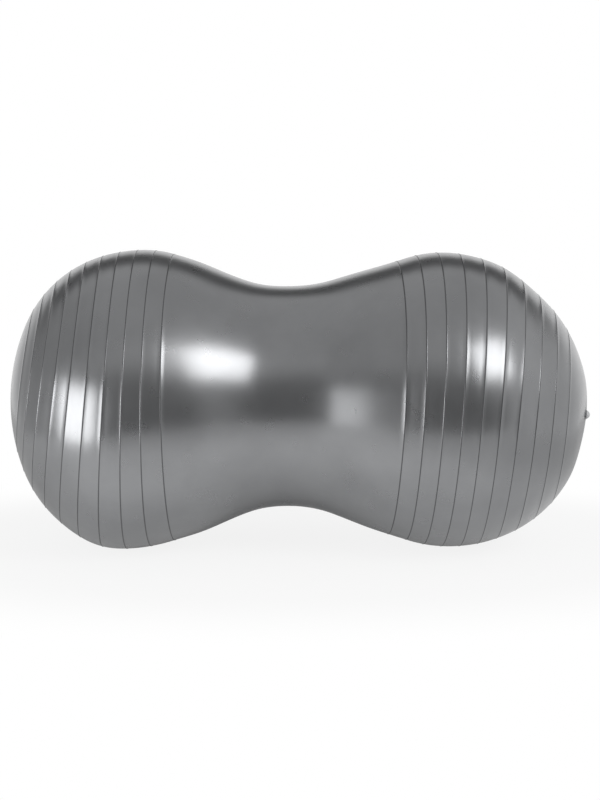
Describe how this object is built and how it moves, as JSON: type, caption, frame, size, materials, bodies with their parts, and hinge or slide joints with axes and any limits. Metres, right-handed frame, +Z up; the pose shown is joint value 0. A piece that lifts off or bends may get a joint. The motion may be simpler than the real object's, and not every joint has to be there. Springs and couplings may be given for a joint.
{
  "type": "exercise ball",
  "caption": "Double-lobe (peanut) inflatable exercise ball with a narrow waist, raised grip rings round both lobes and a push-in air plug at one end",
  "frame": {"origin": "On the floor, under the middle of the ball's length", "axes": "+X along the ball's length towards the air plug, +Y to the back, +Z up from the floor that both lobes rest on"},
  "size_m": [0.8878, 0.462, 0.4594],
  "materials": {
    "shell_skin": "soft PVC, pearl grey, satin-gloss moulded skin",
    "valve_insert": "soft PVC, grey, smooth moulded",
    "plug": "polyethylene, pale grey, smooth moulded"
  },
  "bodies": {
    "ball": {"shell": "shell_skin", "valve_sleeve": "valve_insert"},
    "plug": {"air_plug": "plug"}
  },
  "joints": [
    {"name": "plug_pull", "type": "slide", "parent": "ball", "child": "plug", "axis": [0.9643, -0.2584, -0.0576], "range_m": [0, 0.035]}
  ]
}
